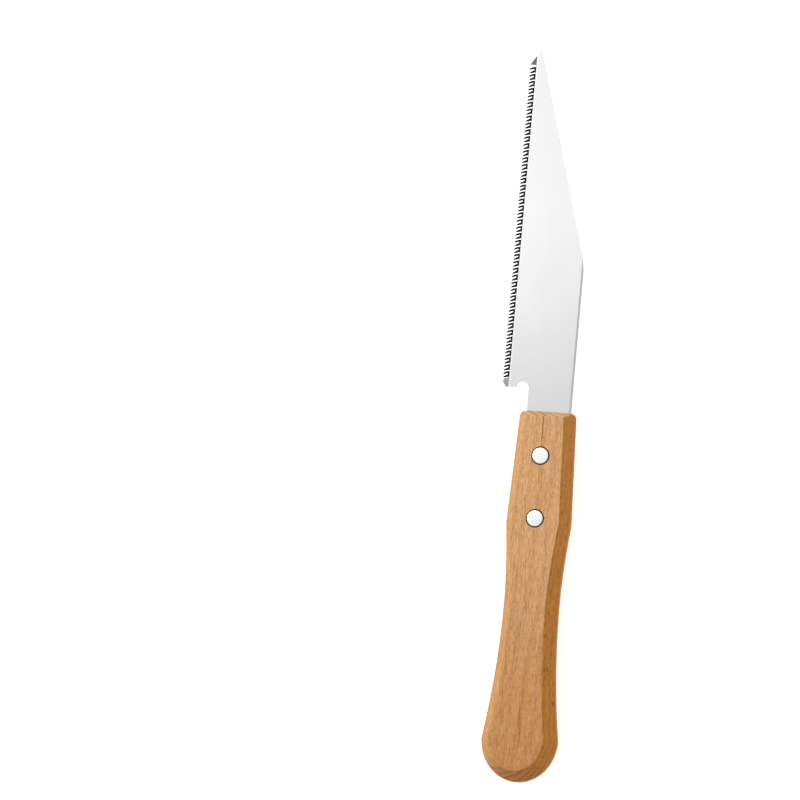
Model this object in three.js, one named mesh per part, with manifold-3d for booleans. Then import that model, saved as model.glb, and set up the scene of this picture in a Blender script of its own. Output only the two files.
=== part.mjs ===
// Pointed pull saw: a stamped steel blade let into a sawn kerf in a one-piece beech handle,
// and held there by two cutler's rivets, each a headed sleeve with a headed pin pressed into it.
//
// Millimetres. The saw lies flat on its handle's back face: +X runs from the butt to the tip,
// +Y towards the teeth and +Z up through the thickness. Each piece is drawn from the end of the
// handle that the blade comes out of (x = 0) and the handle's centreline (y = 0). The last lines
// move the whole saw so that the origin is the middle of its footprint, on the bench.
import * as THREE from "three";
import { mergeVertices } from "three/addons/utils/BufferGeometryUtils.js";
import Module from "manifold-3d";

const wasm = await Module();
wasm.setup();

// Handle: lengths along the grip
const handle_length = 166;
const bulge_at = 50; // from the blade end to the first swelling
const waist_at = 85; // from the blade end to the narrowest place
const butt_reach = 19.2; // from the widest place of the butt to its end

// Handle: half widths at its mid-plane, and its thickness
const neck_half = 12.8;
const bulge_half = 14.75;
const waist_half = 12.6;
const butt_half = 17.4;
const handle_thickness = 17;
const bulge_slope = 0.09; // how fast the side falls away behind the bulge
const swell_slope = 0.16; // how fast the side widens where it meets the butt

// Handle: how far the edge of each flat face stands in from the mid-plane outline
const neck_inset = 3.6;
const waist_inset = 4.2;
const butt_inset = 4.8;
const blade_end_inset = 2.7;
const butt_end_inset = 4;
const nose_height = 2.2; // upright band between the upper and the lower facets
const neck_corner = 2.6; // corner radius at the blade end, at the mid-plane
const face_corner = 1.2; // the same corner on the flat faces
const edge_break = 0.4; // sanded edge between a face and its facets

// Blade: outline
const blade_reach = 162; // from the handle to the tip
const tooth_tip_out = 22.2; // from the centreline to the tooth tips
const spine_out = 10.4; // from the centreline to the straight back
const shoulder_at = 66.5; // from the handle to where the back turns to the tip
const shoulder_round = 5;
const tip_width = 0.4;
const tip_drop = 1.6; // how far in from the line of the gullets the tip stands
const tang_out = 10; // from the centreline to the tang's tooth side
const tang_past_hole = 1.6; // steel beyond the lower rivet's hole
const tang_corner = 2;
const heel_at = 10; // from the handle to the heel's straight end
const notch_radius = 2.75; // relief notch between the heel and the tang

// Blade: teeth and the plain guards before and after them
const tooth_depth = 2.85;
const tooth_pitch = 1.55;
const tooth_set = 0.1; // how far each tip leans out, to either side in turn
const teeth_from_heel = 4.6;
const tooth_hook = 0.65; // how far each tip reaches back towards the handle
const tooth_back = 0.8; // length of the short facet behind each tip
const tooth_back_drop = 0.2; // how far that facet falls
const tooth_waist = 0.8; // from a tooth's root line to its back, lower down
const tooth_waist_drop = 1.5; // and how far below the tips that is
const gullet_width = 0.5; // flat bottom of each gullet
const heel_guard_chamfer = 1.6; // how far the guard's outer corner is cut back
const heel_guard_slope = 2.7; // length of the slope from that corner to the guard's point
const heel_guard_gap = 0.15; // between the guard and the first tooth's tip
const toe_guard = 4.2; // plain corner beyond the last tooth
const tip_run = 3.5; // from that corner's inner end to the tip

// Blade: thickness and ground bevels
const blade_thickness = 0.6;
const spine_bevel_width = 1;
const spine_bevel_depth = 0.15;

// Kerf that the tang sits in
const kerf_side_clearance = 0.15;
const kerf_end_clearance = 1;

// Rivets
const rivet_stations = { upper: 20.5, lower: 48.6 }; // from the blade end of the handle
const head_radius = 3.7;
const head_thickness = 2;
const head_rim = 0.3; // chamfer round a head's outer edge
const front_head_proud = 0.3;
const back_head_sunk = 0.1;
const sleeve_radius = 2.5;
const pin_radius = 1.5;
const pin_clearance = 0.15; // round the pin in its sleeve
const pin_chamfer = 0.4;
const pin_tip_room = 1; // beyond the pin, at the bottom of the sleeve's bore
const hole_clearance = 0.3; // round a shank or a head in its hole
const seat_clearance = 0.1; // under each head
const sleeve_end_room = 0.5; // between the sleeve and the pin's head

// Fineness of the curves
const side_steps = 11;
const butt_steps = 36;
const corner_steps = 5;
const blade_curve_steps = 10;
const round_steps = 40;

// Sizes that follow from those
const mid_height = handle_thickness / 2;
const handle_half = Math.max(neck_half, bulge_half, waist_half, butt_half);
const butt_at = handle_length - butt_reach;
const rivet_bore = sleeve_radius + hole_clearance;
const tang_length = rivet_stations.lower + rivet_bore + tang_past_hole;
const kerf_depth = tang_length + kerf_end_clearance;
const kerf_width = blade_thickness + 2 * kerf_side_clearance;
const gullet_out = tooth_tip_out - tooth_depth;
const teeth_start = heel_at + teeth_from_heel;
const toe_at = blade_reach - tip_run - toe_guard;
const tooth_count = Math.floor((toe_at - teeth_start) / tooth_pitch);

// A closed three.js geometry as a solid that can be joined and cut.
function solidFrom(geometry) {
  const bare = geometry.index ? geometry.toNonIndexed() : geometry.clone();
  bare.deleteAttribute("normal");
  bare.deleteAttribute("uv");
  const merged = mergeVertices(bare, 1e-4);
  return new wasm.Manifold(
    new wasm.Mesh({
      numProp: 3,
      vertProperties: merged.attributes.position.array,
      triVerts: new Uint32Array(merged.index.array),
    }),
  );
}

// A solid back as a three.js geometry.
function geometryFrom(solid) {
  const mesh = solid.getMesh();
  const geometry = new THREE.BufferGeometry();
  geometry.setAttribute("position", new THREE.BufferAttribute(mesh.vertProperties, 3));
  geometry.setIndex(new THREE.BufferAttribute(mesh.triVerts, 1));
  geometry.computeVertexNormals();
  return geometry;
}

// Joins flat rings that all have the same number of points, and closes both ends.
function loft(rings) {
  const count = rings[0].outline.length;
  const position = rings.flatMap((ring) => ring.outline.flatMap((p) => [p.x, p.y, ring.height]));
  const index = [];
  for (let level = 0; level + 1 < rings.length; level++) {
    for (let i = 0; i < count; i++) {
      const here = level * count + i;
      const next = level * count + ((i + 1) % count);
      index.push(here, next, next + count);
      index.push(here, next + count, here + count);
    }
  }
  const top = (rings.length - 1) * count;
  for (const [a, b, c] of THREE.ShapeUtils.triangulateShape(rings[0].outline, [])) {
    index.push(a, c, b);
  }
  for (const [a, b, c] of THREE.ShapeUtils.triangulateShape(rings.at(-1).outline, [])) {
    index.push(top + a, top + b, top + c);
  }
  const geometry = new THREE.BufferGeometry();
  geometry.setAttribute("position", new THREE.Float32BufferAttribute(position, 3));
  geometry.setIndex(index);
  return geometry;
}

// An upright turned solid, from a profile of [radius, height] points listed from the bottom up.
function turned(profile) {
  const points = profile.map(([radius, height]) => new THREE.Vector2(radius, height));
  return new THREE.LatheGeometry(points, round_steps).rotateX(Math.PI / 2);
}

// ---- Handle ----

// One long side seen from above. pull goes from 0 at the mid-plane to 1 on the flat faces, and
// draws each width in by its own inset; ease draws the whole outline in by a little more.
function gripSide(pull, ease, start) {
  const at = (distance, half, inset) => new THREE.Vector2(-distance, half - inset * pull - ease);
  const neck = at(start, neck_half, neck_inset);
  const bulge = at(bulge_at, bulge_half, neck_inset);
  const waist = at(waist_at, waist_half, waist_inset);
  const butt = at(butt_at, butt_half, butt_inset);
  const fall = (bulge.x - waist.x) / 3;
  const swell = (waist.x - butt.x) / 3;
  const hollow = new THREE.CubicBezierCurve(
    bulge,
    new THREE.Vector2(bulge.x - fall, bulge.y - fall * bulge_slope),
    new THREE.Vector2(waist.x + fall, waist.y),
    waist,
  );
  const flare = new THREE.CubicBezierCurve(
    waist,
    new THREE.Vector2(waist.x - swell, waist.y),
    new THREE.Vector2(butt.x + swell, butt.y - swell * swell_slope),
    butt,
  );
  return [neck, ...hollow.getPoints(side_steps), ...flare.getPoints(side_steps).slice(1)];
}

// The whole outline of the handle at one level, seen from above.
function handleOutline(pull, ease) {
  const corner = THREE.MathUtils.lerp(neck_corner, face_corner, pull);
  const end = blade_end_inset * pull + ease;
  const side = gripSide(pull, ease, end + corner);
  const corner_centre = [-end - corner, side[0].y - corner];
  const corner_arc = new THREE.EllipseCurve(...corner_centre, corner, corner, 0, Math.PI / 2);
  const reach = butt_reach - butt_end_inset * pull - ease;
  const width = side.at(-1).y;
  const butt_arc = new THREE.EllipseCurve(-butt_at, 0, reach, width, Math.PI / 2, (3 * Math.PI) / 2);
  const half = [...corner_arc.getPoints(corner_steps).slice(0, -1), ...side];
  const mirrored = half.map((p) => new THREE.Vector2(p.x, -p.y)).reverse();
  return [...half, ...butt_arc.getPoints(butt_steps).slice(1, -1), ...mirrored];
}

// A stepped hole right through: a bore for the shanks, and a seat for the head at each end.
function rivetHole(station) {
  const beyond = 1;
  const seat = head_radius + hole_clearance;
  const back_seat = back_head_sunk + head_thickness + seat_clearance;
  const front_seat = handle_thickness + front_head_proud - head_thickness - seat_clearance;
  return turned([
    [0, -beyond],
    [seat, -beyond],
    [seat, back_seat],
    [rivet_bore, back_seat],
    [rivet_bore, front_seat],
    [seat, front_seat],
    [seat, handle_thickness + beyond],
    [0, handle_thickness + beyond],
  ]).translate(-station, 0, 0);
}

function handleGeometry() {
  const facet = mid_height - nose_height / 2;
  const sanded = edge_break / 2;
  const face_pull = 1 - sanded / facet;
  const body = loft([
    { height: 0, outline: handleOutline(1, edge_break) },
    { height: sanded, outline: handleOutline(face_pull, 0) },
    { height: facet, outline: handleOutline(0, 0) },
    { height: handle_thickness - facet, outline: handleOutline(0, 0) },
    { height: handle_thickness - sanded, outline: handleOutline(face_pull, 0) },
    { height: handle_thickness, outline: handleOutline(1, edge_break) },
  ]);
  const kerf = new THREE.BoxGeometry(2 * kerf_depth, 4 * handle_half, kerf_width);
  let solid = solidFrom(body).subtract(solidFrom(kerf.translate(0, 0, mid_height)));
  for (const station of Object.values(rivet_stations)) {
    solid = solid.subtract(solidFrom(rivetHole(station)));
  }
  return geometryFrom(solid);
}

// ---- Blade ----

// The blade seen from above: along the teeth from the heel to the tip, back down the spine,
// round the tang and through the relief notch.
function bladeOutline() {
  const shape = new THREE.Shape();
  const guard_point = heel_at + heel_guard_slope;
  shape.moveTo(heel_at, tooth_tip_out - heel_guard_chamfer);
  shape.lineTo(guard_point, tooth_tip_out);
  shape.lineTo(teeth_start - tooth_hook - heel_guard_gap, tooth_tip_out - heel_guard_chamfer / 2);
  shape.lineTo(teeth_start - gullet_width / 2, gullet_out);
  for (let tooth = 0; tooth < tooth_count; tooth++) {
    const root = teeth_start + tooth * tooth_pitch;
    shape.lineTo(root, gullet_out);
    shape.lineTo(root - tooth_hook, tooth_tip_out);
    shape.lineTo(root - tooth_hook + tooth_back, tooth_tip_out - tooth_back_drop);
    shape.lineTo(root + tooth_waist, tooth_tip_out - tooth_waist_drop);
    shape.lineTo(root + tooth_pitch - gullet_width, gullet_out);
  }
  shape.lineTo(toe_at, gullet_out);
  shape.lineTo(toe_at, tooth_tip_out);
  shape.lineTo(toe_at + toe_guard, gullet_out);

  const tip = new THREE.Vector2(blade_reach, gullet_out - tip_drop);
  const shoulder = new THREE.Vector2(shoulder_at, -spine_out);
  const back_start = new THREE.Vector2(tip.x, tip.y - tip_width);
  const turn = back_start.clone().sub(shoulder).setLength(shoulder_round).add(shoulder);
  shape.lineTo(tip.x, tip.y);
  shape.lineTo(back_start.x, back_start.y);
  shape.lineTo(turn.x, turn.y);
  shape.quadraticCurveTo(shoulder.x, shoulder.y, shoulder.x - shoulder_round, shoulder.y);

  shape.lineTo(tang_corner - tang_length, -spine_out);
  shape.lineTo(-tang_length, tang_corner - spine_out);
  shape.lineTo(-tang_length, tang_out - tang_corner);
  shape.lineTo(tang_corner - tang_length, tang_out);
  shape.lineTo(heel_at, tang_out);
  shape.absarc(heel_at, tang_out + notch_radius, notch_radius, -Math.PI / 2, Math.PI / 2, false);

  for (const station of Object.values(rivet_stations)) {
    const hole = new THREE.Path();
    hole.absarc(-station, 0, rivet_bore, 0, 2 * Math.PI, false);
    shape.holes.push(hole);
  }
  return shape;
}

// A wedge that grinds one face thinner towards an edge of the blade. It starts at the line
// y = inner and takes off depth where it reaches y = outer.
function grindingWedge(inner, outer, depth, from, to, face) {
  const beyond = 1;
  const half = blade_thickness / 2;
  const run = Math.abs(outer - inner);
  const far = outer + Math.sign(outer - inner) * beyond;
  const far_depth = (depth * (run + beyond)) / run;
  const profile = new THREE.Shape([
    new THREE.Vector2(inner, half * face),
    new THREE.Vector2(far, (half - far_depth) * face),
    new THREE.Vector2(far, (half + beyond) * face),
    new THREE.Vector2(inner, (half + beyond) * face),
  ]);
  const wedge = new THREE.ExtrudeGeometry(profile, { depth: to - from, bevelEnabled: false });
  // The profile lies in the YZ plane and the wedge runs along X.
  wedge.applyMatrix4(new THREE.Matrix4().set(0, 0, 1, from, 1, 0, 0, 0, 0, 1, 0, 0, 0, 0, 0, 1));
  return solidFrom(wedge);
}

function bladeGeometry() {
  const flat = new THREE.ExtrudeGeometry(bladeOutline(), {
    depth: blade_thickness,
    bevelEnabled: false,
    curveSegments: blade_curve_steps,
  });
  flat.translate(0, 0, -blade_thickness / 2);
  // Every point of a tooth leans out by how far it stands above the gullets, to one face and
  // the other in turn. The guards stay straight.
  const points = flat.attributes.position;
  for (let i = 0; i < points.count; i++) {
    const tooth = Math.floor((points.getX(i) - teeth_start + tooth_hook) / tooth_pitch + 0.01);
    const height = points.getY(i) - gullet_out;
    if (height > 0 && tooth >= 0 && tooth < tooth_count) {
      const side = tooth % 2 ? 1 : -1;
      points.setZ(i, points.getZ(i) + (side * tooth_set * height) / tooth_depth);
    }
  }
  let solid = solidFrom(flat);
  const spine_inner = spine_bevel_width - spine_out;
  const spine_end = shoulder_at - shoulder_round;
  for (const face of [-1, 1]) {
    solid = solid.subtract(
      grindingWedge(spine_inner, -spine_out, spine_bevel_depth, 0, spine_end, face),
    );
  }
  return geometryFrom(solid);
}

// ---- Rivets ----

// The front half: a head let into the front face, and a hollow shank down towards the back.
function sleeveGeometry() {
  const top = handle_thickness + front_head_proud;
  const underside = top - head_thickness;
  const end = back_head_sunk + head_thickness + sleeve_end_room;
  const bore = pin_radius + pin_clearance;
  return turned([
    [0, underside - pin_tip_room],
    [bore, underside - pin_tip_room],
    [bore, end],
    [sleeve_radius, end],
    [sleeve_radius, underside],
    [head_radius, underside],
    [head_radius, top - head_rim],
    [head_radius - head_rim, top],
    [0, top],
  ]);
}

// The back half: a head just below the back face, and a pin up into the sleeve.
function pinGeometry() {
  const tip = handle_thickness + front_head_proud - head_thickness - 2 * pin_tip_room;
  const head_top = back_head_sunk + head_thickness;
  return turned([
    [0, back_head_sunk],
    [head_radius - head_rim, back_head_sunk],
    [head_radius, back_head_sunk + head_rim],
    [head_radius, head_top],
    [pin_radius, head_top],
    [pin_radius, tip - pin_chamfer],
    [pin_radius - pin_chamfer, tip],
    [0, tip],
  ]);
}

// ---- Materials and assembly ----

const beech = new THREE.MeshStandardMaterial({ color: 0xcf9c6b, roughness: 0.55, metalness: 0 });
const steel = new THREE.MeshStandardMaterial({ color: 0xd9dadb, roughness: 0.25, metalness: 1 });
const rivet_steel = new THREE.MeshStandardMaterial({ color: 0xe6e6e6, roughness: 0.2, metalness: 1 });

function piece(name, geometry, material, position = [0, 0, 0]) {
  const mesh = new THREE.Mesh(geometry, material.clone());
  mesh.name = name;
  mesh.position.set(...position);
  return mesh;
}

const saw = new THREE.Group();
saw.add(piece("handle", handleGeometry(), beech));
saw.add(piece("blade", bladeGeometry(), steel, [0, 0, mid_height]));
for (const [place, station] of Object.entries(rivet_stations)) {
  saw.add(piece(`${place}_rivet_sleeve`, sleeveGeometry(), rivet_steel, [-station, 0, 0]));
  saw.add(piece(`${place}_rivet_pin`, pinGeometry(), rivet_steel, [-station, 0, 0]));
}

const tooth_side = Math.max(handle_half, tooth_tip_out);
const spine_side = Math.max(handle_half, spine_out);
saw.position.set((handle_length - blade_reach) / 2, (spine_side - tooth_side) / 2, 0);

const part = new THREE.Group();
part.add(saw);
export default part;
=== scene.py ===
"""A pointed pull saw with a riveted beech handle, lying on a pale floor under soft studio light.

The CAD model is the frame: the places of the pieces are taken from its boxes. Sizes here are in
millimetres, in the saw's own axes (X from the handle's blade end to the blade's tip, Y from the
handle's centreline to the teeth, Z up from the back of the handle), and each piece is turned into
metres on the frame when it is finished.
"""
import math

import bmesh
import bpy
from mathutils import Matrix, Vector
from mathutils.geometry import delaunay_2d_cdt


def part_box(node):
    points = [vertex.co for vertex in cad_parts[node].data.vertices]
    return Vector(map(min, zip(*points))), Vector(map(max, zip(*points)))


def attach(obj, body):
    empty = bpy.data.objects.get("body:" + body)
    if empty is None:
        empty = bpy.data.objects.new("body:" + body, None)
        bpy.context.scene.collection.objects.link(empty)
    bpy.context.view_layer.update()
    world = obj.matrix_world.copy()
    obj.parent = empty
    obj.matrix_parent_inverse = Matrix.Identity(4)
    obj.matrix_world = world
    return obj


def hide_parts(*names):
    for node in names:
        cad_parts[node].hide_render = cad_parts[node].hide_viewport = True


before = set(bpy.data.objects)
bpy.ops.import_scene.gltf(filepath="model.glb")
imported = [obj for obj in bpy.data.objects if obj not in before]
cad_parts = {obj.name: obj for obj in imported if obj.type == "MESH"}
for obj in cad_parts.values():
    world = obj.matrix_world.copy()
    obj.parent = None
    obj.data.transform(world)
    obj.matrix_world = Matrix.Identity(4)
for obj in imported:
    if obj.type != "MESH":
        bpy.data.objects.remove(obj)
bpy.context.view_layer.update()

MM = 0.001
ROOT = "root"

# ---- Places taken from the CAD frame ----

handle_low, handle_high = (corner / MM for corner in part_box("handle"))
blade_low, blade_high = (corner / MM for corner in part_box("blade"))
blade_end = handle_high.x  # where the blade comes out of the handle
centreline = (handle_low.y + handle_high.y) / 2
thickness = handle_high.z - handle_low.z
mid_height = (handle_low.z + handle_high.z) / 2
handle_length = handle_high.x - handle_low.x
blade_reach = blade_high.x - blade_end
tang_length = blade_end - blade_low.x
tooth_tip_out = blade_high.y - centreline
spine_out = centreline - blade_low.y
rivet_stations = {}
for place in ("upper", "lower"):
    sleeve_low, sleeve_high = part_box(f"{place}_rivet_sleeve")
    rivet_stations[place] = blade_end - (sleeve_low.x + sleeve_high.x) / 2 / MM

# ---- Sizes of the handle, as in the CAD model ----

BULGE_AT = 50
WAIST_AT = 85
BUTT_REACH = 19.2
NECK_HALF = 12.8
BULGE_HALF = 14.75
WAIST_HALF = 12.6
BUTT_HALF = (handle_high.y - handle_low.y) / 2
BULGE_SLOPE = 0.09
SWELL_SLOPE = 0.16
NECK_INSET = 3.6
WAIST_INSET = 4.2
BUTT_INSET = 4.8
BLADE_END_INSET = 2.7
BUTT_END_INSET = 4
NOSE_HEIGHT = 2.2
NECK_CORNER = 2.6
FACE_CORNER = 1.2
KERF_WIDTH = 0.9
KERF_DEPTH = tang_length + 1

# Rounding that the CAD model leaves out
FACE_EDGE_ROUND = 0.9
NOSE_EDGE_ROUND = 2.4
SEAT_EDGE_ROUND = 0.18

# ---- Sizes of the blade, as in the CAD model ----

BLADE_THICKNESS = 0.6
SHOULDER_AT = 66.5
SHOULDER_ROUND = 5
TIP_WIDTH = 0.4
TIP_DROP = 1.6
TIP_RUN = 3.5
TANG_OUT = 10
TANG_CORNER = 2
HEEL_AT = 10
NOTCH_RADIUS = 2.75
TOOTH_DEPTH = 2.85
TOOTH_PITCH = 1.55
TOOTH_SET = 0.1
TEETH_FROM_HEEL = 4.6
TOOTH_HOOK = 0.65
TOOTH_BACK = 0.8
TOOTH_BACK_DROP = 0.2
TOOTH_WAIST = 0.8
TOOTH_WAIST_DROP = 1.5
GULLET_WIDTH = 0.5
HEEL_GUARD_CHAMFER = 1.6
HEEL_GUARD_SLOPE = 2.7
HEEL_GUARD_GAP = 0.15
TOE_GUARD = 4.2
SPINE_BEVEL_WIDTH = 1
SPINE_BEVEL_DEPTH = 0.15
SPINE_BEVEL_START = -1  # just inside the handle

gullet_out = tooth_tip_out - TOOTH_DEPTH
teeth_start = HEEL_AT + TEETH_FROM_HEEL
toe_at = blade_reach - TIP_RUN - TOE_GUARD
tooth_count = math.floor((toe_at - teeth_start) / TOOTH_PITCH)
spine_bevel_inner = SPINE_BEVEL_WIDTH - spine_out

# Grinding that the CAD model leaves out
BAND_BEGINS = 0.15  # how far inside the gullets the toothed band begins
BAND_STEP = 0.6  # width of the slope from the thinner middle of the blade up to the band
BAND_RISE = 0.04
BAND_FALL = 0.06  # how much lower the band is at the tooth tips
GULLET_RISE = 0.7  # every second gullet is this much shallower
TIP_GRIND = (0.05, 0.25)  # how far a tooth's bevels bring its tip back, along and across
BACK_GRIND = (0, 0.25)  # the same for the end of its back
SIDE_GRIND = (0, 0.05)  # the same for the point lower down

band_out = gullet_out - BAND_BEGINS
step_out = band_out - BAND_STEP

# ---- Sizes of the rivets, as in the CAD model ----

HEAD_RADIUS = 3.7
HEAD_THICKNESS = 2
HEAD_RIM = 0.3
FRONT_HEAD_PROUD = 0.3
BACK_HEAD_SUNK = 0.1
SLEEVE_RADIUS = 2.5
PIN_RADIUS = 1.5
PIN_CLEARANCE = 0.15
PIN_CHAMFER = 0.4
PIN_TIP_ROOM = 1
HOLE_CLEARANCE = 0.3
SEAT_CLEARANCE = 0.1
SLEEVE_END_ROOM = 0.5
HEAD_CROWN = 0.02  # how much lower a head's face is at its rim, which the CAD model leaves flat


# ---- Mesh helpers ----

SHARP_ANGLE = math.radians(35)  # edges sharper than this stay crisp


def finished(name, bm, material, slot, *nodes, smooth=True):
    """Turns a bmesh drawn in millimetres, in the saw's own axes, into a piece on the frame."""
    bmesh.ops.remove_doubles(bm, verts=bm.verts, dist=1e-4)
    bmesh.ops.recalc_face_normals(bm, faces=bm.faces)
    mesh = bpy.data.meshes.new(name)
    bm.to_mesh(mesh)
    bm.free()
    mesh.transform(Matrix.Diagonal((MM, MM, MM, 1)) @ Matrix.Translation((blade_end, centreline, 0)))
    mesh.materials.append(material)
    piece = bpy.data.objects.new(name, mesh)
    bpy.context.scene.collection.objects.link(piece)
    if smooth:
        mesh.shade_smooth()
        mesh.set_sharp_from_angle(angle=SHARP_ANGLE)
        normals = piece.modifiers.new("weighted_normals", "WEIGHTED_NORMAL")
        normals.keep_sharp = True
        normals.weight = 100
    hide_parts(*nodes)
    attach(piece, ROOT)
    return piece


def skin(bm, rings, closed_ends):
    """Joins rings that have the same number of (x, y, z) points."""
    rows = [[bm.verts.new(point) for point in ring] for ring in rings]
    count = len(rows[0])
    for low, high in zip(rows, rows[1:]):
        for i in range(count):
            j = (i + 1) % count
            bm.faces.new((low[i], low[j], high[j], high[i]))
    if closed_ends:
        bm.faces.new(reversed(rows[0]))
        bm.faces.new(rows[-1])
    return rows


def turned(profile, station, segments=96):
    """An upright turned solid, from a profile of (radius, height) that starts and ends on the axis."""
    bm = bmesh.new()
    turn = [2 * math.pi * k / segments for k in range(segments)]
    rows = skin(
        bm,
        [
            [(radius * math.cos(a) - station, radius * math.sin(a), height) for a in turn]
            for radius, height in profile[1:-1]
        ],
        closed_ends=False,
    )
    for (_, height), row in zip((profile[0], profile[-1]), (rows[0], rows[-1])):
        centre = bm.verts.new((-station, 0, height))
        for i in range(segments):
            bm.faces.new((centre, row[i], row[(i + 1) % segments]))
    bmesh.ops.recalc_face_normals(bm, faces=bm.faces)
    return bm


def arc(centre, across, up, start, end, steps):
    """Points on an elliptical arc, from the start angle to the end angle in degrees."""
    angles = (math.radians(start + (end - start) * k / steps) for k in range(steps + 1))
    return [(centre[0] + across * math.cos(a), centre[1] + up * math.sin(a)) for a in angles]


def bezier(corners, shares):
    """Points at the given shares of a quadratic or cubic Bezier curve."""
    degree = len(corners) - 1
    points = []
    for t in shares:
        weights = [math.comb(degree, k) * (1 - t) ** (degree - k) * t**k for k in range(degree + 1)]
        points.append(tuple(sum(w * c[axis] for w, c in zip(weights, corners)) for axis in (0, 1)))
    return points


def even(steps):
    return [k / steps for k in range(steps + 1)]


def rounded(before, corner, after, radius, steps):
    """Points of an arc that rounds off a corner, tangent to both of its sides."""
    before, corner, after = Vector(before), Vector(corner), Vector(after)
    back = (before - corner).normalized()
    on = (after - corner).normalized()
    half = back.angle(on) / 2
    centre = corner + (back + on).normalized() * (radius / math.sin(half))
    start = corner + back * (radius / math.tan(half)) - centre
    sweep = math.copysign(math.pi - 2 * half, back.y * on.x - back.x * on.y)
    return [tuple(centre + Matrix.Rotation(sweep * share, 2) @ start) for share in even(steps)]


# ---- Handle ----

def handle_outline(pull, ease):
    """The handle seen from above: pull 0 is its mid-plane and 1 its flat faces."""
    def at(distance, half, inset):
        return (-distance, half - inset * pull - ease)

    corner = NECK_CORNER + (FACE_CORNER - NECK_CORNER) * pull
    neck = at(BLADE_END_INSET * pull + ease + corner, NECK_HALF, NECK_INSET)
    bulge = at(BULGE_AT, BULGE_HALF, NECK_INSET)
    waist = at(WAIST_AT, WAIST_HALF, WAIST_INSET)
    butt = at(handle_length - BUTT_REACH, BUTT_HALF, BUTT_INSET)
    fall = (bulge[0] - waist[0]) / 3
    swell = (waist[0] - butt[0]) / 3
    corner_arc = arc((neck[0], neck[1] - corner), corner, corner, 0, 90, 8)
    straight = [tuple(Vector(neck).lerp(Vector(bulge), share)) for share in even(24)]
    hollow = bezier(
        [bulge, (bulge[0] - fall, bulge[1] - fall * BULGE_SLOPE), (waist[0] + fall, waist[1]), waist],
        even(24),
    )
    flare = bezier(
        [waist, (waist[0] - swell, waist[1]), (butt[0] + swell, butt[1] - swell * SWELL_SLOPE), butt],
        even(32),
    )
    reach = BUTT_REACH - BUTT_END_INSET * pull - ease
    butt_arc = arc((butt[0], 0), reach, butt[1], 90, 270, 72)
    half = corner_arc[:-1] + straight[:-1] + hollow[:-1] + flare
    return half + butt_arc[1:-1] + [(x, -y) for x, y in reversed(half)]


def handle_levels():
    """The handle's side from its mid-plane up to its front face, as (pull, ease, height)."""
    nose = (0, NOSE_HEIGHT / 2)
    face = (WAIST_INSET, thickness / 2)
    on_the_flat = (WAIST_INSET + 1, thickness / 2)
    round_nose = rounded((0, 0), nose, face, NOSE_EDGE_ROUND, 5)
    round_face = rounded(nose, face, on_the_flat, FACE_EDGE_ROUND, 7)
    facet = [Vector(round_nose[-1]).lerp(Vector(round_face[0]), share) for share in even(8)]
    levels = []
    for inward, height in round_nose + facet[1:-1] + round_face:
        pull = (height - NOSE_HEIGHT / 2) / (thickness / 2 - NOSE_HEIGHT / 2)
        pull = min(max(pull, 0), 1)
        levels.append((pull, inward - WAIST_INSET * pull, height))
    return levels


def rivet_hole(station):
    """The stepped hole for one rivet, with the edge of each seat eased."""
    beyond = 1
    bore = SLEEVE_RADIUS + HOLE_CLEARANCE
    seat = HEAD_RADIUS + HOLE_CLEARANCE
    wide = seat + SEAT_EDGE_ROUND
    half_eased = seat + SEAT_EDGE_ROUND * 0.3
    back_seat = BACK_HEAD_SUNK + HEAD_THICKNESS + SEAT_CLEARANCE
    front_seat = thickness + FRONT_HEAD_PROUD - HEAD_THICKNESS - SEAT_CLEARANCE
    return turned(
        [
            (0, -beyond),
            (wide, -beyond),
            (wide, 0),
            (half_eased, SEAT_EDGE_ROUND * 0.3),
            (seat, SEAT_EDGE_ROUND),
            (seat, back_seat),
            (bore, back_seat),
            (bore, front_seat),
            (seat, front_seat),
            (seat, thickness - SEAT_EDGE_ROUND),
            (half_eased, thickness - SEAT_EDGE_ROUND * 0.3),
            (wide, thickness),
            (wide, thickness + beyond),
            (0, thickness + beyond),
        ],
        station,
    )


def kerf_cut():
    bm = bmesh.new()
    bmesh.ops.create_cube(bm, size=1)
    size = Matrix.Diagonal((2 * KERF_DEPTH, 6 * BUTT_HALF, KERF_WIDTH, 1))
    bmesh.ops.transform(bm, matrix=Matrix.Translation((0, 0, mid_height)) @ size, verts=bm.verts)
    return bm


def cut(bm, cutters):
    """The solid with every cutter taken out of it."""
    made = []
    for name, solid in [("uncut", bm), *((f"cutter_{k}", c) for k, c in enumerate(cutters))]:
        mesh = bpy.data.meshes.new(name)
        bmesh.ops.recalc_face_normals(solid, faces=solid.faces)
        solid.to_mesh(mesh)
        solid.free()
        made.append(bpy.data.objects.new(name, mesh))
        bpy.context.scene.collection.objects.link(made[-1])
    for cutter in made[1:]:
        modifier = made[0].modifiers.new("cut", "BOOLEAN")
        modifier.operation = "DIFFERENCE"
        modifier.solver = "EXACT"
        modifier.object = cutter
    result = bmesh.new()
    graph = bpy.context.evaluated_depsgraph_get()
    result.from_mesh(made[0].evaluated_get(graph).data)
    for leftover in made:
        bpy.data.meshes.remove(leftover.data)
    return result


def handle_solid():
    upper = handle_levels()
    lower = [(pull, ease, -height) for pull, ease, height in reversed(upper)]
    bm = bmesh.new()
    skin(
        bm,
        [
            [(x, y, mid_height + height) for x, y in handle_outline(pull, ease)]
            for pull, ease, height in lower + upper
        ],
        closed_ends=True,
    )
    holes = [rivet_hole(station) for station in rivet_stations.values()]
    return cut(bm, [kerf_cut(), *holes])


# ---- Blade ----

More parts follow.
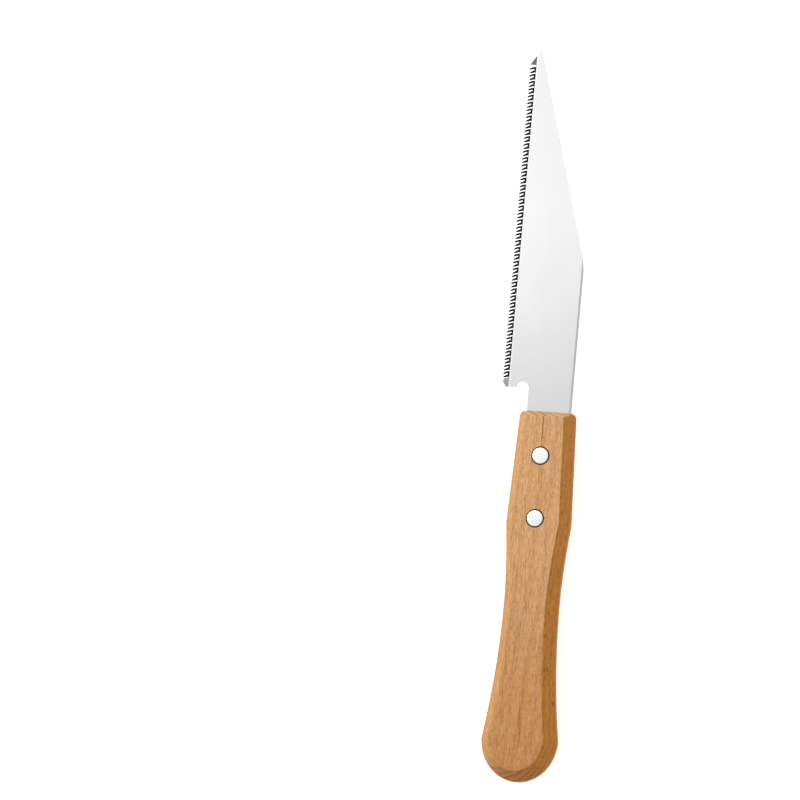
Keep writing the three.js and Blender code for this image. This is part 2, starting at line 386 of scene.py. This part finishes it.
def blade_height(x, y, face):
    """Height of the blade's front or back face (face 1 or -1) at a place on it."""
    fall = BAND_FALL * max(y - band_out, 0) / (tooth_tip_out - band_out)
    hollow = BAND_RISE * min(max((band_out - y) / BAND_STEP, 0), 1)
    bevel = SPINE_BEVEL_DEPTH * max(spine_bevel_inner - y, 0) / SPINE_BEVEL_WIDTH
    if x < 1.1 * SPINE_BEVEL_START:  # the tang is not bevelled
        bevel = 0
    height = mid_height + face * (BLADE_THICKNESS / 2 - fall - hollow - bevel)
    tooth = math.floor((x - teeth_start + TOOTH_HOOK) / TOOTH_PITCH + 0.01)
    if y > gullet_out and 0 <= tooth < tooth_count:
        side = 1 if tooth % 2 else -1
        height += side * TOOTH_SET * (y - gullet_out) / TOOTH_DEPTH
    return height


def tooth_edge(face):
    """The tooth line on one face. A tooth that leans to this face keeps its full outline here; its
    neighbours, which lean away, show their bevels."""
    points = [(teeth_start, gullet_out)]
    for tooth in range(tooth_count):
        x = teeth_start + tooth * TOOTH_PITCH
        leans_here = (tooth % 2 == 1) == (face == 1)
        ground = 0 if leans_here else 1
        rise = GULLET_RISE if tooth % 2 == 0 and tooth < tooth_count - 1 else 0
        points += [
            (x + along + back_along * ground, tooth_tip_out + out - back_out * ground)
            for (along, out), (back_along, back_out) in (
                ((-TOOTH_HOOK, 0), TIP_GRIND),
                ((TOOTH_BACK - TOOTH_HOOK, -TOOTH_BACK_DROP), BACK_GRIND),
                ((TOOTH_WAIST, -TOOTH_WAIST_DROP), SIDE_GRIND),
            )
        ]
        points += [
            (x + TOOTH_PITCH - GULLET_WIDTH, gullet_out + rise),
            (x + TOOTH_PITCH, gullet_out + rise),
        ]
    return points


def blade_outline(face):
    toe_end = (toe_at + TOE_GUARD, gullet_out)
    tip = (blade_reach, gullet_out - TIP_DROP)

    def on_toe(y):
        share = (toe_end[1] - y) / (toe_end[1] - tip[1])
        return (toe_end[0] + share * (tip[0] - toe_end[0]), y)

    shoulder = Vector((SHOULDER_AT, -spine_out))
    slope = (Vector((tip[0], tip[1] - TIP_WIDTH)) - shoulder).normalized()
    past = shoulder + slope * SHOULDER_ROUND
    before = shoulder - Vector((SHOULDER_ROUND, 0))
    bevel_ends = math.sqrt(SPINE_BEVEL_WIDTH / (past.y + spine_out))  # where its inner line comes out
    shares = sorted([*even(6), bevel_ends], reverse=True)
    notch_at = HEEL_AT + NOTCH_RADIUS
    heel_out = notch_at + NOTCH_RADIUS
    tang_end = -tang_length
    corner = TANG_CORNER
    return [
        (HEEL_AT, heel_out),
        (HEEL_AT, step_out),
        (HEEL_AT, band_out),
        (HEEL_AT, tooth_tip_out - HEEL_GUARD_CHAMFER),
        (HEEL_AT + HEEL_GUARD_SLOPE, tooth_tip_out),
        (teeth_start - TOOTH_HOOK - HEEL_GUARD_GAP, tooth_tip_out - HEEL_GUARD_CHAMFER / 2),
        (teeth_start - GULLET_WIDTH / 2, gullet_out),
        *tooth_edge(face),
        (toe_at, gullet_out),
        (toe_at, tooth_tip_out),
        toe_end,
        on_toe(band_out),
        on_toe(step_out),
        tip,
        (tip[0], tip[1] - TIP_WIDTH),
        *bezier([tuple(before), tuple(shoulder), tuple(past)], shares),
        (SPINE_BEVEL_START, -spine_out),
        (2 * SPINE_BEVEL_START, -spine_out),
        *reversed(arc((tang_end + corner, -spine_out + corner), corner, corner, 180, 270, 6)),
        *reversed(arc((tang_end + corner, TANG_OUT - corner), corner, corner, 90, 180, 6)),
        *arc((HEEL_AT, notch_at), NOTCH_RADIUS, NOTCH_RADIUS, -90, 90, 32)[:-1],
    ]


def rivet_bore(station):
    radius = SLEEVE_RADIUS + HOLE_CLEARANCE
    return arc((-station, 0), radius, radius, 0, 360, 48)[:-1]


def grinding_lines(outline, inner_start):
    """The lines along which a face changes slope, as pairs of point numbers."""
    def on(out):
        return [i for i, (_, y) in enumerate(outline) if abs(y - out) < 1e-6]

    lines = [tuple(on(step_out)), tuple(on(band_out))]
    lines.append((inner_start, outline.index((2 * SPINE_BEVEL_START, -spine_out))))
    return lines + [(inner_start, i) for i in on(spine_bevel_inner)]


def blade_solid():
    """Each face is cut into flats along its grinding lines, and walls join the two faces."""
    bm = bmesh.new()
    loops = {}
    for face in (1, -1):
        rings = [blade_outline(face), *(rivet_bore(s) for s in rivet_stations.values())]
        points = [Vector(p) for ring in rings for p in ring]
        sizes = [len(ring) for ring in rings]
        starts = [sum(sizes[:k]) for k in range(len(sizes))]
        rims = [list(range(s, s + n)) for s, n in zip(starts, sizes)]
        lines = [(rim[i], rim[(i + 1) % len(rim)]) for rim in rims for i in range(len(rim))]
        lines += grinding_lines(rings[0], len(points))
        points.append(Vector((SPINE_BEVEL_START, spine_bevel_inner)))
        found, _, faces, origins, _, _ = delaunay_2d_cdt(points, lines, [], 1, 1e-5)
        placed = [bm.verts.new((p.x, p.y, blade_height(p.x, p.y, face))) for p in found]
        for corners in faces:
            bm.faces.new([placed[i] for i in corners])
        at = {first: i for i, sources in enumerate(origins) for first in sources}
        loops[face] = [[placed[at[i]] for i in rim] for rim in rims]
    for front, back in zip(loops[1], loops[-1]):
        for i in range(len(front)):
            j = (i + 1) % len(front)
            bm.faces.new((front[i], front[j], back[j], back[i]))
    return bm


# ---- Rivets ----

def head_face(top, downwards):
    """A head's crowned face and rounded rim, from its axis to its side, as (radius, height)."""
    flat = HEAD_RADIUS - HEAD_RIM
    crown = [
        (flat * share, top - downwards * HEAD_CROWN * share**2) for share in even(6)
    ]
    rim_top = top - downwards * HEAD_CROWN
    rim = [
        (flat + HEAD_RIM * math.sin(a), rim_top - downwards * HEAD_RIM * (1 - math.cos(a)))
        for a in (math.pi / 2 * share for share in even(6))
    ]
    return crown + rim[1:]


def sleeve_solid(station):
    """The front half of a rivet: a head let into the front face, and a hollow shank."""
    top = thickness + FRONT_HEAD_PROUD
    underside = top - HEAD_THICKNESS
    end = BACK_HEAD_SUNK + HEAD_THICKNESS + SLEEVE_END_ROOM
    bore = PIN_RADIUS + PIN_CLEARANCE
    return turned(
        [
            (0, underside - PIN_TIP_ROOM),
            (bore, underside - PIN_TIP_ROOM),
            (bore, end),
            (SLEEVE_RADIUS, end),
            (SLEEVE_RADIUS, underside),
            (HEAD_RADIUS, underside),
            *reversed(head_face(top, 1)),
        ],
        station,
    )


def pin_solid(station):
    """The back half of a rivet: a head just below the back face, and a pin up into the sleeve."""
    tip = thickness + FRONT_HEAD_PROUD - HEAD_THICKNESS - 2 * PIN_TIP_ROOM
    head_top = BACK_HEAD_SUNK + HEAD_THICKNESS
    return turned(
        [
            *head_face(BACK_HEAD_SUNK, -1),
            (HEAD_RADIUS, head_top),
            (PIN_RADIUS, head_top),
            (PIN_RADIUS, tip - PIN_CHAMFER),
            (PIN_RADIUS - PIN_CHAMFER, tip),
            (0, tip),
        ],
        station,
    )


# ---- Materials ----

def linear(red, green, blue):
    """A colour given as on a screen, 0 to 255, as the linear values that a node takes."""
    return tuple(
        (c / 255 / 12.92 if c <= 10 else ((c / 255 + 0.055) / 1.055) ** 2.4) for c in (red, green, blue)
    ) + (1,)


class Graph:
    """The nodes of one material, each made from the outputs of earlier ones."""

    def __init__(self, name):
        self.material = bpy.data.materials.new(name)
        self.material.use_nodes = True
        self.tree = self.material.node_tree
        self.tree.nodes.clear()
        self.shader = self.tree.nodes.new("ShaderNodeBsdfPrincipled")
        output = self.tree.nodes.new("ShaderNodeOutputMaterial")
        self.tree.links.new(self.shader.outputs[0], output.inputs[0])
        coordinates = self.tree.nodes.new("ShaderNodeTexCoord")
        own = self.node(  # the saw's own axes, in millimetres
            "VectorMath",
            {0: coordinates.outputs["Object"], 1: (1 / MM,) * 3, 2: (-blade_end, -centreline, 0)},
            operation="MULTIPLY_ADD",
        )
        self.place = own.outputs[0]
        self.x, self.y, self.z = self.node("SeparateXYZ", {0: self.place}).outputs
        normal = self.node("SeparateXYZ", {0: coordinates.outputs["Normal"]})
        self.normal_x, self.normal_y, self.normal_z = normal.outputs

    def node(self, kind, inputs, **settings):
        made = self.tree.nodes.new("ShaderNode" + kind)
        for name, value in settings.items():
            setattr(made, name, value)
        for key, value in inputs.items():
            self.feed(made.inputs[key], value)
        return made

    def feed(self, socket, value):
        if isinstance(value, bpy.types.NodeSocket):
            self.tree.links.new(value, socket)
        else:
            socket.default_value = value

    def math(self, operation, *values):
        return self.node("Math", dict(enumerate(values)), operation=operation).outputs[0]

    def ramp(self, value, start, end, low=0.0, high=1.0):
        """low up to the start, high from the end, and smooth between."""
        made = self.node(
            "MapRange", {0: value, 1: start, 2: end, 3: low, 4: high}, interpolation_type="SMOOTHSTEP"
        )
        return made.outputs[0]

    def between(self, value, start, end, soft):
        """1 from the start to the end, with soft edges."""
        rise = self.ramp(value, start - soft, start + soft)
        fall = self.ramp(value, end - soft, end + soft, 1.0, 0.0)
        return self.math("MULTIPLY", rise, fall)

    def stretched(self, *scale):
        return self.node("VectorMath", {0: self.place, 1: scale}, operation="MULTIPLY").outputs[0]

    def noise(self, scale, detail=2.0, roughness=0.5, distortion=0.0):
        inputs = {
            "Vector": self.stretched(*scale),
            "Scale": 1.0,
            "Detail": detail,
            "Roughness": roughness,
            "Distortion": distortion,
        }
        return self.node("TexNoise", inputs).outputs[0]

    def flecks(self, scale, radius, spread, offset=0.0):
        """Scattered specks of random size in a stretched space: 1 inside a speck and 0 outside."""
        vector = self.node(
            "VectorMath", {0: self.place, 1: scale, 2: (offset,) * 3}, operation="MULTIPLY_ADD"
        ).outputs[0]
        cells = self.node("TexVoronoi", {"Vector": vector, "Scale": 1.0, "Randomness": 1.0})
        chance = self.node("SeparateColor", {0: cells.outputs["Color"]}).outputs[0]
        size = self.math("MULTIPLY_ADD", chance, spread, radius - spread)
        inside = self.math("SUBTRACT", size, cells.outputs["Distance"])
        return self.ramp(inside, 0.0, 0.08)

    def mix(self, factor, a, b, blend="MIX"):
        made = self.node("Mix", {0: factor, 6: a, 7: b}, data_type="RGBA", blend_type=blend)
        return made.outputs[2]

    def bump(self, height, distance, strength=1.0):
        made = self.node("Bump", {"Height": height, "Distance": distance, "Strength": strength})
        self.feed(self.shader.inputs["Normal"], made.outputs[0])


# The tree that the handle was sawn from
RING_SPACING = 2.9
RING_WAVER = 6.0  # how far the rings wander in and out
RING_HEART = (-32, -26)  # the middle of the tree, below the handle on the spine's side
RING_LEAN = (0.03, 0.02)  # how the trunk leans against the handle's length
TREE_RADIUS = 47  # at the handle

SHADE_RING_WIDTH = 0.35  # how far the painted shade round a rivet's hole reaches

# Dark threads of grain on the handle's front: how far each lies to the spine's side of the
# centreline, where it ends towards the butt and towards the blade, and how dark it is
THREADS = (
    (0.0, -14.0, -1.5, 0.85),
    (1.6, -150.0, -140.0, 0.6),
    (0.7, -143.0, -132.0, 0.5),
)


def beech():
    graph = Graph("beech_oiled")
    math_, mix = graph.math, graph.mix

    # The tree's own space: along the trunk, round it, and out from its heart
    across = math_("MULTIPLY_ADD", graph.x, RING_LEAN[0], math_("SUBTRACT", graph.y, RING_HEART[0]))
    upward = math_("MULTIPLY_ADD", graph.x, RING_LEAN[1], math_("SUBTRACT", graph.z, RING_HEART[1]))
    out = math_("SQRT", math_("ADD", math_("POWER", across, 2.0), math_("POWER", upward, 2.0)))
    around = math_("MULTIPLY", math_("ARCTAN2", upward, across), TREE_RADIUS)
    waver = graph.noise((0.012, 0.08, 0.08), 2.0)
    graph.place = graph.node("CombineXYZ", {0: graph.x, 1: around, 2: out}).outputs[0]

    rings = math_("DIVIDE", math_("MULTIPLY_ADD", waver, RING_WAVER, out), RING_SPACING)
    ring = math_("FRACT", rings)
    late_wood = math_("MULTIPLY", graph.ramp(ring, 0.3, 0.92), graph.ramp(ring, 0.93, 1.0, 1.0, 0.0))
    fibres = graph.noise((0.35, 2.4, 2.4), 4.0, 0.65)
    lines = graph.noise((0.12, 2.8, 2.8), 1.0)
    clouds = graph.noise((0.02, 0.12, 0.12), 2.0)
    pores = graph.flecks((0.5, 2.6, 2.0), 0.38, 0.3)
    rays = graph.flecks((0.34, 1.7, 1.0), 0.34, 0.34, 7.0)
    broad_rays = graph.flecks((0.2, 0.9, 0.9), 0.36, 0.6, 31.0)
    vessels = graph.flecks((0.05, 0.7, 0.7), 0.16, 0.5, 19.0)

    # Which side of the handle a place is on
    end_grain = graph.ramp(math_("ABSOLUTE", graph.normal_x), 0.35, 0.85)
    butt_side_painted_shade = graph.ramp(graph.normal_x, -0.35, -0.8)
    spine_side_shade_and_rays = graph.ramp(graph.normal_y, -0.25, -0.75)
    teeth_side_painted_shading = graph.ramp(graph.normal_y, 0.25, 0.75)

    # The light wood, deeper towards the butt. Painted shading: the facets on the teeth's side, on the
    # spine's side and at the butt are each given a darker, more saturated colour that stands in for how
    # the light falls on them.
    colour = mix(graph.ramp(clouds, 0.3, 0.7), linear(234, 185, 134), linear(227, 176, 122))
    colour = mix(graph.ramp(graph.x, -10.0, -175.0), colour, linear(212, 156, 95))
    colour = mix(teeth_side_painted_shading, colour, linear(200, 147, 76))
    colour = mix(spine_side_shade_and_rays, colour, linear(200, 132, 36))
    colour = mix(butt_side_painted_shade, colour, linear(187, 118, 30))

    # Painted shade: a dark ring on the wood round each rivet's seat, standing in for the shaded gap
    # round the head
    hole = HEAD_RADIUS + HOLE_CLEARANCE
    shade_rings = []
    for station in rivet_stations.values():
        along = math_("POWER", math_("ADD", graph.x, station), 2.0)
        away = math_("SQRT", math_("ADD", along, math_("POWER", graph.y, 2.0)))
        shade_rings.append(graph.ramp(away, hole + SHADE_RING_WIDTH, hole + 0.05))

    # The darker parts of the grain, and the painted shade round the rivets, each with the share of red,
    # green and blue that it lets through. The rings show most on the ends, and the rays on the spine's
    # side.
    ring_strength = math_("MULTIPLY_ADD", end_grain, 0.45, 0.2)
    ray_strength = math_("MULTIPLY_ADD", spine_side_shade_and_rays, 0.85, 0.15)
    for amount, tint in (
        (math_("MULTIPLY", late_wood, ring_strength), (0.5, 0.36, 0.26, 1)),
        (graph.ramp(fibres, 0.36, 0.66, 0.0, 0.68), (0.64, 0.5, 0.4, 1)),
        (graph.ramp(lines, 0.5, 0.7, 0.0, 0.45), (0.6, 0.44, 0.32, 1)),
        (math_("MULTIPLY", pores, 0.4), (0.42, 0.29, 0.18, 1)),
        (math_("MULTIPLY", rays, math_("MULTIPLY", ray_strength, 0.5)), (0.42, 0.28, 0.18, 1)),
        (math_("MULTIPLY", broad_rays, math_("MULTIPLY", ray_strength, 0.8)), (0.36, 0.23, 0.14, 1)),
        (math_("MULTIPLY", vessels, 0.5), (0.28, 0.18, 0.12, 1)),
        (math_("MAXIMUM", *shade_rings), (0.34, 0.24, 0.15, 1)),
    ):
        colour = mix(amount, colour, tint, "MULTIPLY")

    waver = math_("MULTIPLY_ADD", graph.noise((0.25, 0.0, 0.0), 1.0), 0.9, -0.45)
    on_front = graph.ramp(graph.z, 13.0, 15.0)
    for offset, towards_butt, towards_blade, strength in THREADS:
        off_thread = math_("ABSOLUTE", math_("ADD", math_("ADD", graph.y, offset), waver))
        thread = graph.ramp(off_thread, 0.1, 0.36, strength, 0.0)
        length = graph.between(graph.x, towards_butt, towards_blade, 2.0)
        thread = math_("MULTIPLY", thread, length)
        colour = mix(math_("MULTIPLY", thread, on_front), colour, linear(110, 66, 34))

    graph.feed(graph.shader.inputs["Base Color"], colour)
    graph.feed(graph.shader.inputs["Roughness"], graph.ramp(fibres, 0.3, 0.7, 0.44, 0.58))
    graph.shader.inputs["Specular IOR Level"].default_value = 0.2
    dents = math_("ADD", math_("MULTIPLY", pores, -0.5), math_("MULTIPLY", rays, -0.4))
    graph.bump(math_("ADD", math_("ADD", fibres, dents), math_("MULTIPLY", vessels, -0.8)), 0.00006)
    return graph.material


SOFT_EDGE = 0.05  # half the width over which one finish on the blade gives way to the next
PAINTED_HIGHLIGHT_AT = 75.0  # from the handle to the middle of the painted highlight on the blade


def blade_steel():
    graph = Graph("spring_steel")
    math_, mix = graph.math, graph.mix

    # Where each finish shows, and where the painted highlight goes
    teeth = graph.between(graph.x, teeth_start - 0.5, toe_at, 2 * SOFT_EDGE)
    band = graph.ramp(graph.y, band_out - SOFT_EDGE, band_out + SOFT_EDGE)
    flat = graph.ramp(math_("ABSOLUTE", graph.normal_z), 0.9, 0.985)
    hardened = math_("MULTIPLY", math_("MULTIPLY", band, teeth), flat)
    filed = math_("MULTIPLY", math_("MULTIPLY", band, teeth), math_("SUBTRACT", 1.0, flat))
    guard = math_("MULTIPLY", band, math_("SUBTRACT", 1.0, teeth))
    toe = graph.ramp(graph.x, toe_at - 1, toe_at)
    past_step = graph.ramp(graph.y, step_out - SOFT_EDGE, step_out + SOFT_EDGE)
    # Painted highlight: a near-white line on the slope up to the toothed band
    painted_highlight_line = math_("MULTIPLY", past_step, math_("SUBTRACT", 1.0, band))
    spine = graph.ramp(graph.y, spine_bevel_inner, spine_bevel_inner - 2 * SOFT_EDGE)

    # Fine grinding lines across the blade, and cloudy unevenness in the polish
    grinding = graph.noise((9.0, 0.15, 0.5), 3.0, 0.6)
    clouds = graph.noise((0.03, 0.05, 0.05), 2.0)
    scale_marks = graph.noise((2.2, 2.2, 2.2), 3.0, 0.6)

    colour = mix(graph.ramp(clouds, 0.3, 0.7), linear(224, 224, 224), linear(220, 220, 220))
    # Painted reflection: the blade is coloured lighter round the lamp's reflection and darker away from
    # it
    away = math_("ABSOLUTE", math_("SUBTRACT", graph.x, PAINTED_HIGHLIGHT_AT))
    colour = mix(graph.ramp(away, 10.0, 85.0), colour, linear(208, 208, 208))
    colour = mix(graph.ramp(grinding, 0.3, 0.8, 0.0, 0.1), colour, linear(196, 196, 198))
    # the painted highlight line along the band
    colour = mix(painted_highlight_line, colour, linear(254, 254, 254))
    colour = mix(spine, colour, linear(212, 213, 214))
    guard_grey = mix(toe, linear(140, 140, 142), linear(94, 94, 97))
    colour = mix(guard, colour, guard_grey)
    filed_grey = mix(graph.ramp(scale_marks, 0.35, 0.65), linear(70, 70, 72), linear(44, 44, 46))
    colour = mix(filed, colour, filed_grey)
    black = mix(graph.ramp(scale_marks, 0.35, 0.65), linear(44, 44, 46), linear(24, 24, 26))
    colour = mix(hardened, colour, black)

    roughness = graph.ramp(grinding, 0.3, 0.8, 0.3, 0.34)
    rougher = math_("MULTIPLY_ADD", band, 0.16, roughness)
    graph.feed(graph.shader.inputs["Base Color"], colour)
    graph.feed(graph.shader.inputs["Roughness"], rougher)
    graph.shader.inputs["Metallic"].default_value = 1.0
    graph.bump(grinding, 0.0000006)
    return graph.material


def rivet_steel():
    graph = Graph("rivet_nickel")
    swirl = graph.noise((3.0, 3.0, 0.4), 3.0, 0.6)
    smudges = graph.noise((0.5, 0.5, 0.5), 2.0)
    colour = graph.mix(graph.ramp(swirl, 0.3, 0.7), linear(239, 240, 240), linear(237, 238, 238))
    # Painted shade: the heads' sides are coloured dark brown, standing in for the shaded gap round each
    # head
    side = graph.ramp(graph.math("ABSOLUTE", graph.normal_z), 0.95, 0.6)
    colour = graph.mix(side, colour, linear(72, 56, 40))
    graph.feed(graph.shader.inputs["Base Color"], colour)
    graph.feed(graph.shader.inputs["Roughness"], graph.ramp(smudges, 0.3, 0.7, 0.32, 0.36))
    graph.shader.inputs["Metallic"].default_value = 1.0
    graph.bump(swirl, 0.0000004)
    return graph.material


# ---- Pieces ----

rivet_finish = rivet_steel()
finished("handle_grip", handle_solid(), beech(), "beech", "handle")
finished("blade_plate", blade_solid(), blade_steel(), "blade_steel", "blade", smooth=False)
for place, station in rivet_stations.items():
    for half, solid in (("sleeve", sleeve_solid), ("pin", pin_solid)):
        finished(
            f"{place}_{half}",
            solid(station),
            rivet_finish,
            "rivet_steel",
            f"{place}_rivet_{half}",
        )


# ---- Floor and light ----

scene = bpy.context.scene
scene.view_settings.view_transform = "Standard"


def pale_floor():
    material = bpy.data.materials.new("pale_floor")
    material.use_nodes = True
    shader = material.node_tree.nodes["Principled BSDF"]
    shader.inputs["Base Color"].default_value = (0.93, 0.93, 0.93, 1)
    shader.inputs["Roughness"].default_value = 0.9
    shader.inputs["Specular IOR Level"].default_value = 0
    shader.inputs["Emission Color"].default_value = (1, 1, 1, 1)
    shader.inputs["Emission Strength"].default_value = 0.65
    bm = bmesh.new()
    bmesh.ops.create_grid(bm, x_segments=2, y_segments=2, size=4)
    mesh = bpy.data.meshes.new("floor")
    bm.to_mesh(mesh)
    bm.free()
    mesh.materials.append(material)
    floor = bpy.data.objects.new("floor", mesh)
    scene.collection.objects.link(floor)
    floor.location.z = -0.05 * MM  # just clear of the back of the handle


def soft_box(name, azimuth, elevation, distance, size, power):
    """A square lamp facing the saw. Azimuth 0 is over the tip, and 90 is on the teeth's side."""
    light = bpy.data.lights.new(name, "AREA")
    light.size = size
    light.energy = power
    lamp = bpy.data.objects.new(name, light)
    around, up = math.radians(azimuth), math.radians(elevation)
    place = Vector(
        (math.cos(up) * math.cos(around), math.cos(up) * math.sin(around), math.sin(up))
    )
    facing = place.to_track_quat("Z", "Y").to_matrix().to_4x4()
    lamp.matrix_world = Matrix.Translation(place * distance) @ facing
    lamp.visible_camera = False
    scene.collection.objects.link(lamp)


pale_floor()
world = bpy.data.worlds.new("studio")
world.use_nodes = True
world.node_tree.nodes["Background"].inputs["Color"].default_value = (1, 1, 1, 1)
world.node_tree.nodes["Background"].inputs["Strength"].default_value = 0.55
scene.world = world
soft_box("overhead", 27, 60, 1.22, 0.9, 1.25)
soft_box("key", 60, 45, 1.1, 0.6, 7.5)


# ---- Camera ----

VIEW_TO_SPINE = 13  # degrees that the view leans off the vertical, towards the spine
VIEW_TO_BUTT = 5.5  # and towards the butt
VIEW_ROLL = 5.01  # degrees that the blade's tip points to the right of straight up
VIEW_WIDTH = 355.8
VIEW_LEFT = 67.9  # how far left of the handle's blade end the frame's centre is
VIEW_ABOVE = 6.3
VIEW_DISTANCE = 1200

away = Vector((-math.tan(math.radians(VIEW_TO_BUTT)), -math.tan(math.radians(VIEW_TO_SPINE)), 1))
away.normalize()
up = (Vector((1, 0, 0)) - away * away.x).normalized()
turn = Matrix.Rotation(math.radians(VIEW_ROLL), 3, away)
up = turn @ up
right = up.cross(away)
aim = Vector((blade_end, centreline, 0)) - right * VIEW_LEFT + up * VIEW_ABOVE
camera_data = bpy.data.cameras.new("camera")
camera_data.type = "ORTHO"
camera_data.ortho_scale = VIEW_WIDTH * MM
camera = bpy.data.objects.new("camera", camera_data)
axes = Matrix((right, up, away)).transposed().to_4x4()
camera.matrix_world = Matrix.Translation((aim + away * VIEW_DISTANCE) * MM) @ axes
scene.collection.objects.link(camera)
scene.camera = camera
